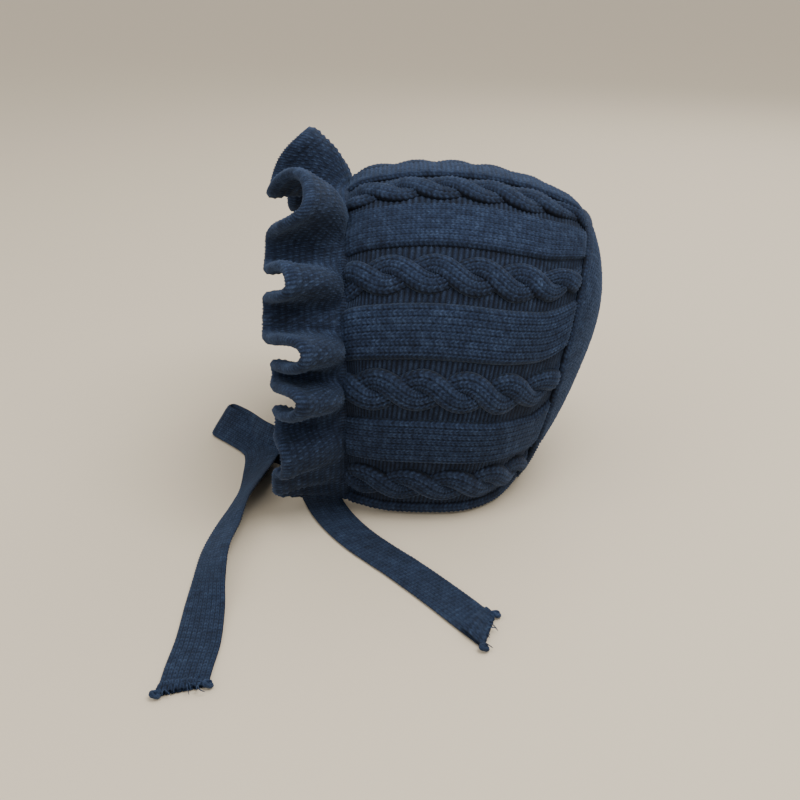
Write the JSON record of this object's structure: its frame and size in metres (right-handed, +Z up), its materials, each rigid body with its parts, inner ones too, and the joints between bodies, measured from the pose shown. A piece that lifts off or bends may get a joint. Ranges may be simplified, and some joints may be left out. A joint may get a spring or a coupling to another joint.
{
  "type": "baby bonnet",
  "caption": "Knitted baby bonnet with cabled crown, fluted ruffle round the face edge and two ribbed ties, standing on its neck edge.",
  "frame": {"origin": "on the table, under the middle of the bonnet's box without its ties", "axes": "+Z up, -X out of the face opening, -Y to the wearer's left"},
  "size_m": [0.1905, 0.3019, 0.1562],
  "materials": {
    "crown_knit": "matte wool, cabled knit",
    "back_knit": "matte wool, plain knit",
    "ruffle_knit": "matte wool, garter knit",
    "tie_rib": "matte wool, ribbed knit"
  },
  "bodies": {
    "root": {"crown": "crown_knit", "back_panel": "back_knit", "ruffle": "ruffle_knit", "tie_left": "tie_rib", "tie_right": "tie_rib"}
  },
  "joints": []
}
